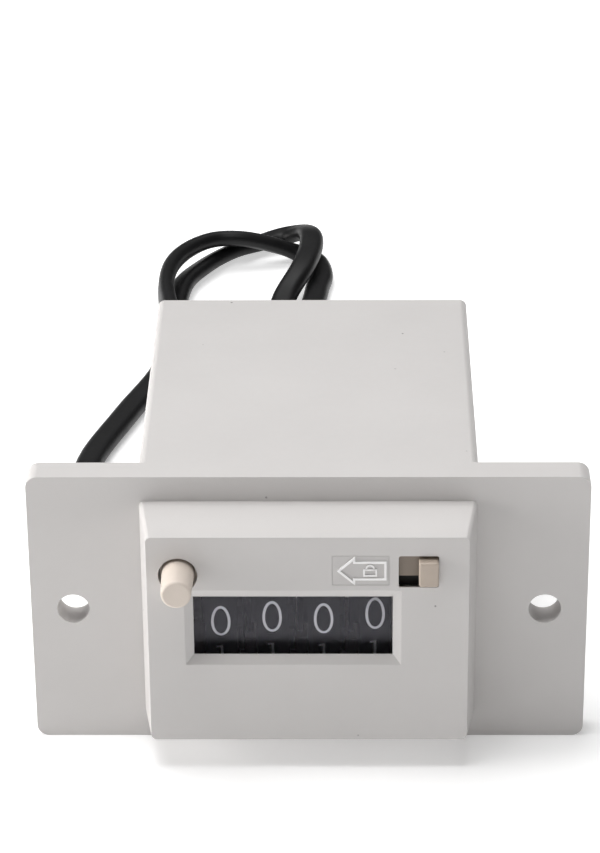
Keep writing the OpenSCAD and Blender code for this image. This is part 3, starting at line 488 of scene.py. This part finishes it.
CASE_LOW, CASE_HIGH = box_mm("case")
FLANGE_W, FLANGE_H, FLANGE_T = CASE_HIGH.x - CASE_LOW.x, CASE_HIGH.z - CASE_LOW.z, 4.2
BOX_W, REAR_Y = 45.4, CASE_HIGH.y
BEZEL_LOW, BEZEL_HIGH = box_mm("bezel")
FRONT_Y = BEZEL_LOW.y
BEZEL_W, BEZEL_H = BEZEL_HIGH.x - BEZEL_LOW.x, BEZEL_HIGH.z - BEZEL_LOW.z
DRAFT_X, DRAFT_Z = 1.25, 0.95
FLANGE_R, CASE_R, BEZEL_R = 1.6, 1.0, 0.7
HOLE_X, HOLE_R = 31.8, 2.2
CASE_ROOM, PANEL_OPENING, BEZEL_ROOM = (41.8, 36.6), (41.3, 29.9), (39.5, 28.1)
EDGE = 0.4
WALL_Y = FRONT_Y + 1.5
PANE_LOW, PANE_HIGH = box_mm("window_pane")
WINDOW_X, WINDOW_Z = (PANE_LOW.x + PANE_HIGH.x) / 2, (PANE_LOW.z + PANE_HIGH.z) / 2
WINDOW_W, WINDOW_H, SLOPE_X, SLOPE_Z, LIP = 28.7, 11.4, 1.15, 1.3, 0.7
BUTTON_X, BUTTON_Z, BUTTON_R, BUTTON_HOLE_R, BUTTON_TRAVEL = -17.1, 9.8, 2.15, 2.6, 4.0
SLOT_X, SLOT_Z, SLOT_W, SLOT_H, SLIDE_TRAVEL = 14.6, 10.4, 5.3, 4.7, 2.6
LEGEND_SIZE, LEGEND_AT = (7.5, 4.4), (SLOT_X - SLOT_W / 2 - 5, SLOT_Z + 0.2)


def make_case():
    case = block("case_shell", (FLANGE_W, FLANGE_H), (0, 0), (0, FLANGE_T), "housing_grey", FLANGE_R)
    combine(case, block("t", (BOX_W, FLANGE_H), (0, 0), (FLANGE_T / 2, REAR_Y), "housing_grey", CASE_R), "UNION")
    combine(case, block("t", CASE_ROOM, (0, 0), (FLANGE_T, REAR_Y + 1), "housing_grey"), "DIFFERENCE")
    combine(case, block("t", PANEL_OPENING, (0, 0), (-1, FLANGE_T + 1), "housing_grey"), "DIFFERENCE")
    for x in (-HOLE_X, HOLE_X):
        hole = lathe("t", [(HOLE_R, -1), (HOLE_R, FLANGE_T + 1)], (x, 0), "housing_grey", 48)
        combine(case, hole, "DIFFERENCE")
    tidy(case)

    def share(points):
        middle = (points[0] + points[1]) / 2
        near_hole = math.hypot(abs(middle.x) - HOLE_X, middle.z) < HOLE_R + 0.8
        inside = abs(middle.x) < CASE_ROOM[0] / 2 + 0.1 and abs(middle.z) < CASE_ROOM[1] / 2 + 0.2
        corner = abs(middle.y - FLANGE_T) < 0.1 and abs(abs(middle.x) - BOX_W / 2) < 0.1
        return 0.3 if near_hole else 0.0 if inside or corner else 1.0
    round_edges(case, EDGE, share)
    finished(case, "housing", "case")


def make_bezel():
    front = rounded(BEZEL_W - 2 * DRAFT_X, BEZEL_H - 2 * DRAFT_Z, BEZEL_R, 4)
    back = rounded(BEZEL_W, BEZEL_H, BEZEL_R, 4)
    rings = [[(x, FRONT_Y, z) for x, z in front], [(x, 0, z) for x, z in back]]
    bezel = stack("bezel_shell", rings, "housing_grey")
    inside = (WINDOW_W - 2 * SLOPE_X, WINDOW_H - 2 * SLOPE_Z)
    outside = (WINDOW_W + 2 * SLOPE_X, WINDOW_H + 2 * SLOPE_Z)
    at = (WINDOW_X, WINDOW_Z)
    slide_low, slide_high = box_mm("lock_slide")
    pocket_x = (slide_low.x - SLIDE_TRAVEL - 0.3, slide_high.x + 0.3)
    pocket_z = (slide_low.z - 0.1, slide_high.z + 0.1)
    cuts = [
        block("t", BEZEL_ROOM, (0, 0), (WALL_Y, 3), "housing_grey"),
        stack("t", [[(at[0] + x, y, at[1] + z) for x, z in rounded(*size, 0)]
                    for size, y in ((outside, FRONT_Y - LIP), (inside, FRONT_Y + LIP))], "housing_grey"),
        block("t", inside, at, (FRONT_Y + LIP - 0.1, WALL_Y + 1), "housing_grey"),
        block("t", [c + 2 for c in inside], at, (FRONT_Y + LIP, WALL_Y + 1), "housing_grey"),
        lathe("t", [(BUTTON_HOLE_R, FRONT_Y - 1), (BUTTON_HOLE_R, WALL_Y + 1)], (BUTTON_X, BUTTON_Z),
              "housing_grey", 48),
        block("t", (SLOT_W, SLOT_H), (SLOT_X, SLOT_Z), (FRONT_Y - 1, WALL_Y + 1), "housing_grey", 0.3),
        block("t", (pocket_x[1] - pocket_x[0], pocket_z[1] - pocket_z[0]),
              (sum(pocket_x) / 2, sum(pocket_z) / 2), (FRONT_Y + 0.7, WALL_Y + 1), "housing_grey"),
        block("t", (SLOT_W, 0.8), (SLOT_X, SLOT_Z - SLOT_H / 2 - 0.2), (FRONT_Y + 0.2, WALL_Y + 1),
              "housing_grey"),
        block("t", LEGEND_SIZE, LEGEND_AT, (FRONT_Y - 1, FRONT_Y + 0.35), "housing_grey"),
    ]
    for cut in cuts:
        combine(bezel, cut, "DIFFERENCE")
    tidy(bezel)

    def share(points):
        middle = (points[0] + points[1]) / 2
        at = -middle.y / -FRONT_Y
        edge_x = abs(abs(middle.x) - (BEZEL_W / 2 - DRAFT_X * at)) < 0.5
        edge_z = abs(abs(middle.z) - (BEZEL_H / 2 - DRAFT_Z * at)) < 0.5
        outer = (edge_x or edge_z) and middle.y < WALL_Y - 0.5
        joint = (edge_x or edge_z) and abs(middle.y) < 0.05  # the thin dark line against the flange
        return 1.0 if outer else 0.35 if joint else 0.16 if middle.y < FRONT_Y + 0.3 else 0.0
    round_edges(bezel, 0.42, share, sharp=24, flat=16)
    finished(bezel, "housing", "bezel")


make_case()
make_bezel()


# ---------------------------------------------------------------- button, slide and numerals

def prism(name, outline, x0, x1, slot):
    """An outline of (y, z) points from x0 to x1."""
    return stack(name, [[(x, y, z) for y, z in outline] for x in (x0, x1)], slot)


def make_button():
    """Round cap with a softened rim, its collar, and the slotted blade that moves the comb."""
    y0, y1 = (c.y for c in box_mm("reset_button"))
    r, rim, taper = BUTTON_R, 0.4, 0.15
    flat_r = r - taper - rim
    profile = [(0.02, y0 + 0.06), (r * 0.5, y0 + 0.05), (flat_r - 0.15, y0)]
    profile += [(flat_r + rim * math.sin(math.radians(a)), y0 + rim - rim * math.cos(math.radians(a)))
                for a in range(0, 91, 15)]
    profile += [(r, FRONT_Y), (r, WALL_Y + 1), (1.3, WALL_Y + 1), (1.3, 4.8), (0.02, 4.8)]
    button = lathe("button_cap", profile, (BUTTON_X, BUTTON_Z), "button_ivory")
    collar = block("t", (5.3, 5.7), (BUTTON_X + 0.25, BUTTON_Z + 0.85), (WALL_Y + 0.2, WALL_Y + 1),
                   "button_ivory", 0.3)
    combine(button, collar, "UNION")
    low, high = -2.5, 4.3
    outline = [(4.5, low), (4.5, 1.3), (7.5, high), (y1, high), (y1, low)]
    blade = prism("t", [(y, BUTTON_Z + z) for y, z in outline], BUTTON_X - 0.6, BUTTON_X + 0.6, "button_ivory")
    slot_r, rear_end, along = 1.0, Vector((11.95, 12.2)), Vector((-BUTTON_TRAVEL, -BUTTON_TRAVEL / 2))
    tilt = math.atan2(along.y, along.x)
    slot = []
    for end, start in ((rear_end + along, tilt - math.pi / 2), (rear_end, tilt + math.pi / 2)):
        angles = [start + math.pi * k / 10 for k in range(11)]
        slot += [(end.x + slot_r * math.cos(a), end.y + slot_r * math.sin(a)) for a in angles]
    combine(blade, prism("t", slot, BUTTON_X - 1, BUTTON_X + 1, "button_ivory"), "DIFFERENCE")
    combine(button, blade, "UNION")
    tidy(button)
    smooth(button)
    finished(button, "reset_button", "reset_button")


def make_button_spring(mean_r=1.7, wire_r=0.2, turns=6, steps=24, sides=10):
    """Coil behind the button's collar, its rear end on the bracket."""
    low, high = box_mm("reset_button_spring")
    x, z, length = (low.x + high.x) / 2, BUTTON_Z, high.y - low.y
    rings = []
    for k in range(turns * steps + 1):
        a, y = 2 * math.pi * k / steps, low.y + wire_r + (length - 2 * wire_r) * k / (turns * steps)
        around = [(mean_r + wire_r * math.cos(b), wire_r * math.sin(b)) for b in
                  (2 * math.pi * j / sides for j in range(sides))]
        rings.append([(x + r * math.cos(a), y + v, z + r * math.sin(a)) for r, v in around])
    spring = stack("button_coil_spring", rings, slot_of("reset_button_spring"))
    smooth(spring, 60)
    apply(spring)
    finished(spring, "housing", "reset_button_spring")
    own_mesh(spring)


DIGIT_H, DIGIT_W, STROKE = 4.4, 2.25, 0.35
WHEEL_R, WHEEL_PITCH, WHEELS_X = 11, 6.86, -1.4
WHEEL_OFFSETS = (-0.8, -0.1, -0.4, 0.4)  # how far each wheel's numeral stands off the line, upwards


def arc(cx, cy, rx, ry, start, stop, steps=12):
    return [(cx + rx * math.cos(math.radians(start + (stop - start) * k / steps)),
             cy + ry * math.sin(math.radians(start + (stop - start) * k / steps))) for k in range(steps + 1)]


def numeral(n):
    """Strokes of a plain numeral in a box of -1 to 1 each way; the second value says if a stroke is closed."""
    six = [(arc(0, -0.4, 1, 0.6, 0, 360, 28)[:-1], True),
           ([(0.6, 1.0), (-0.15, 0.82), (-0.7, 0.35), (-0.97, -0.3)], False)]
    return [
        [(arc(0, 0, 1, 1, 0, 360, 40)[:-1], True)],
        [([(-0.6, 0.86), (0, 0.94), (0, -1)], False)],
        [(arc(0, 0.5, 1, 0.5, 170, -30) + [(-1, -1), (1, -1)], False)],
        [(arc(0, 0.52, 0.9, 0.48, 160, -80), False), (arc(0, -0.46, 1, 0.54, 90, -160), False)],
        [([(0.5, -1), (0.5, 1), (-1, -0.35), (1, -0.35)], False)],
        [([(0.85, 1), (-0.7, 1), (-0.85, 0.18)] + arc(0, -0.36, 1, 0.64, 120, -150), False)],
        six,
        [([(-1, 1), (1, 1), (-0.2, -1)], False)],
        [(arc(0, 0.52, 0.85, 0.48, 0, 360, 28)[:-1], True), (arc(0, -0.48, 1, 0.52, 0, 360, 28)[:-1], True)],
        [([(-x, -y) for x, y in line], closed) for line, closed in six],
    ][n]


def finely(line, closed, step=0.3):
    """Adds points to long straight stretches, so that a stroke follows the round of the wheel."""
    made = []
    for i, a in enumerate(line):
        b = line[(i + 1) % len(line)] if closed or i < len(line) - 1 else a
        parts = max(1, math.ceil(math.dist(a, b) / step))
        made += [(a[0] + (b[0] - a[0]) * k / parts, a[1] + (b[1] - a[1]) * k / parts) for k in range(parts)]
    return made


def strokes(name, lines, width, place_at, lifts, slot):
    """Raised strokes: place_at(u, v, lift) gives a point of the flat drawing its place on the piece."""
    points, faces = [], []
    for line, closed in lines:
        line = finely(line, closed)
        count, first = len(line), len(points)
        for i, (u, v) in enumerate(line):
            before = line[i - 1] if closed or i else line[0]
            after = line[(i + 1) % count] if closed or i < count - 1 else line[-1]
            a, b = Vector((u - before[0], v - before[1])), Vector((after[0] - u, after[1] - v))
            a, b = (a if a.length else b).normalized(), (b if b.length else a).normalized()
            normal = Vector((-(a.y + b.y), a.x + b.x)).normalized()
            reach = width / 2 / max(0.5, normal.dot(Vector((-a.y, a.x))))
            for side, lift in ((1, lifts[0]), (1, lifts[1]), (-1, lifts[1]), (-1, lifts[0])):
                points.append(place_at(u + normal.x * reach * side, v + normal.y * reach * side, lift))
        for i in range(count if closed else count - 1):
            for k in range(4):
                a, b = first + i * 4 + k, first + i * 4 + (k + 1) % 4
                step = ((i + 1) % count - i) * 4
                faces.append((a, b, b + step, a + step))
        if not closed:
            end = first + (count - 1) * 4
            faces += [tuple(first + k for k in (3, 2, 1, 0)), tuple(end + k for k in range(4))]
    return new_object(name, points, faces, slot)


def make_numerals(index, turn):
    """Raised numerals 0 to 9 round a wheel, each a tenth of a turn below the last."""
    node = f"number_wheel_{index}"
    low, high = box_mm(node)
    axis_y, axis_z = (low.y + high.y) / 2, (low.z + high.z) / 2
    centre_x = WHEELS_X + (index - 2.5) * WHEEL_PITCH
    lines = []
    for n in range(10):
        base = (turn - 2 * math.pi * n / 10) * WHEEL_R
        for line, closed in numeral(n):
            lines.append(([(x * DIGIT_W / 2, base + y * DIGIT_H / 2) for x, y in line], closed))

    def on_wheel(u, v, lift):
        angle, r = v / WHEEL_R, WHEEL_R + lift
        return centre_x + u, axis_y - r * math.cos(angle), axis_z + r * math.sin(angle)
    numerals = strokes(f"numerals_{index}", lines, STROKE, on_wheel, (-0.02, 0.03), "nylon_white")
    numerals.data.materials[0] = MATERIALS["numeral_print"]
    finished(numerals, node)


def make_legend():
    """Legend plate with a raised arrow to the left and a plain padlock in it."""
    plate = block("legend_plate", [c - 0.08 for c in LEGEND_SIZE], LEGEND_AT, (FRONT_Y + 0.02, FRONT_Y + 0.35),
                  "housing_grey")
    plate.data.materials[0] = MATERIALS["legend_plate"]
    finished(plate, "housing", "lock_legend")
    tip, tail, neck, head_h, shaft_h = -2.9, 3.25, -0.85, 1.85, 1.25
    arrow = [(tip, 0), (neck, head_h), (neck, shaft_h), (tail, shaft_h),
             (tail, -shaft_h), (neck, -shaft_h), (neck, -head_h)]
    lock = [([(0.45, -0.72), (0.45, 0.15), (2.05, 0.15), (2.05, -0.72)], True),
            ([(0.75, 0.15)] + arc(1.25, 0.32, 0.5, 0.5, 180, 0, 10) + [(1.75, 0.15)], False)]

    def on_plate(u, v, lift):
        return LEGEND_AT[0] + u, FRONT_Y - lift, LEGEND_AT[1] + v
    relief = strokes("legend_relief", [(arrow, True)], 0.3, on_plate, (-0.05, 0.16), "housing_grey")
    glyph = strokes("legend_padlock", lock, 0.22, on_plate, (-0.05, 0.14), "housing_grey")
    for piece in (relief, glyph):
        piece.data.materials[0] = MATERIALS["legend_relief"]
        finished(piece, "housing", "lock_legend")


def make_slide():
    """Finger tab with softened edges on its plate, and the tongue that reaches towards the button."""
    low, high = box_mm("lock_slide")
    plate_y = (high.y - 0.8, high.y)
    plate_left, tongue_h = 6.5, 2
    plate = block("slide_tab", (11.6, 3.9), (plate_left + 5.8, SLOT_Z + 0.95), plate_y, "slide_tan")
    tongue = block("t", (plate_left - low.x + 0.1, tongue_h),
                   ((plate_left + 0.1 + low.x) / 2, high.z - tongue_h / 2), plate_y, "slide_tan")
    hook = block("t", (1.6, high.z - low.z), (low.x + 0.8, (high.z + low.z) / 2), plate_y, "slide_tan")
    tab = block("t", (2.6, SLOT_H - 1.1), (15.9, SLOT_Z), (low.y, high.y - 0.4), "slide_tan", 0.3)
    for other in (tongue, hook, tab):
        combine(plate, other, "UNION")
    tidy(plate)

    def share(points):
        return 1.0 if max(p.y for p in points) < FRONT_Y - 0.3 else 0.15
    round_edges(plate, 0.28, share)
    finished(plate, "lock_slide", "lock_slide")


make_button()
make_button_spring()
for number, offset in enumerate(WHEEL_OFFSETS, 1):
    make_numerals(number, offset / WHEEL_R)
make_slide()
make_legend()
for name in ("rear_cover", "rear_cover_screws", "cable_bush", "lock_keeper"):
    modifier = nodes[name].modifiers.new("edges", "BEVEL")
    modifier.width, modifier.segments, modifier.limit_method = 0.08 * MM, 2, "ANGLE"
    modifier.angle_limit = math.radians(50)


# ---------------------------------------------------------------- light and floor

def area_light(name, at, target, size, power, colour=(1, 1, 1)):
    data = bpy.data.lights.new(name, "AREA")
    data.shape, data.size, data.size_y = "RECTANGLE", *size
    data.energy, data.color = power, colour
    light = bpy.data.objects.new(name, data)
    light.location = at
    light.rotation_mode = "QUATERNION"
    light.rotation_quaternion = (Vector(at) - Vector(target)).to_track_quat("Z", "Y")
    scene.collection.objects.link(light)


def sky_light(name, towards, strength, spread):
    """A broad, even light from far away, in the direction of towards."""
    data = bpy.data.lights.new(name, "SUN")
    data.energy, data.angle = strength, math.radians(spread)
    light = bpy.data.objects.new(name, data)
    light.rotation_mode = "QUATERNION"
    light.rotation_quaternion = Vector(towards).to_track_quat("Z", "Y")
    scene.collection.objects.link(light)


def make_floor():
    """White floor that gives off a little light, less near the counter so that its shadow shows."""
    size = 4.0
    mesh = bpy.data.meshes.new("floor")
    mesh.from_pydata([(x * size, y * size, TABLE_Z) for x, y in ((-1, -1), (1, -1), (1, 1), (-1, 1))], [],
                     [(0, 1, 2, 3)])
    material, bsdf = shader("floor_white", (0.93, 0.93, 0.93), 0.8, specular=0.1)
    bsdf.inputs["Emission Color"].default_value = (1, 1, 1, 1)
    coordinates = add(material, "ShaderNodeTexCoord")
    away = add(material, "ShaderNodeVectorMath", operation="LENGTH")
    join(material, coordinates.outputs["Object"], away.inputs[0])
    glow = add(material, "ShaderNodeMapRange", interpolation_type="SMOOTHSTEP")
    for key, value in (("From Min", 0.05), ("From Max", 0.2), ("To Min", 0.26), ("To Max", 0.6)):
        glow.inputs[key].default_value = value
    join(material, away.outputs["Value"], glow.inputs["Value"])
    join(material, glow.outputs["Result"], bsdf.inputs["Emission Strength"])
    mesh.materials.append(material)
    floor = bpy.data.objects.new("floor", mesh)
    scene.collection.objects.link(floor)


make_floor()
sky_light("key", (-0.25, 0.15, 0.95), 1.6, 40)
area_light("near", (-0.03, -0.02, 0.27), (0, 0, 0), (0.14, 0.14), 0.27)
area_light("left", (-0.75, -0.075, 0.12), (0, 0, 0), (0.3, 0.4), 4.8, (1.0, 0.985, 0.97))
area_light("sheen", (0, 1.0, 1.1), (0, 0, 0), (1.6, 0.5), 3.0)
world = bpy.data.worlds.new("studio")
world.use_nodes = True
world.node_tree.nodes["Background"].inputs["Color"].default_value = (1, 1, 1, 1)
world.node_tree.nodes["Background"].inputs["Strength"].default_value = 0.12
scene.world = world
scene.view_settings.view_transform = "Standard"
scene.view_settings.look = "None"
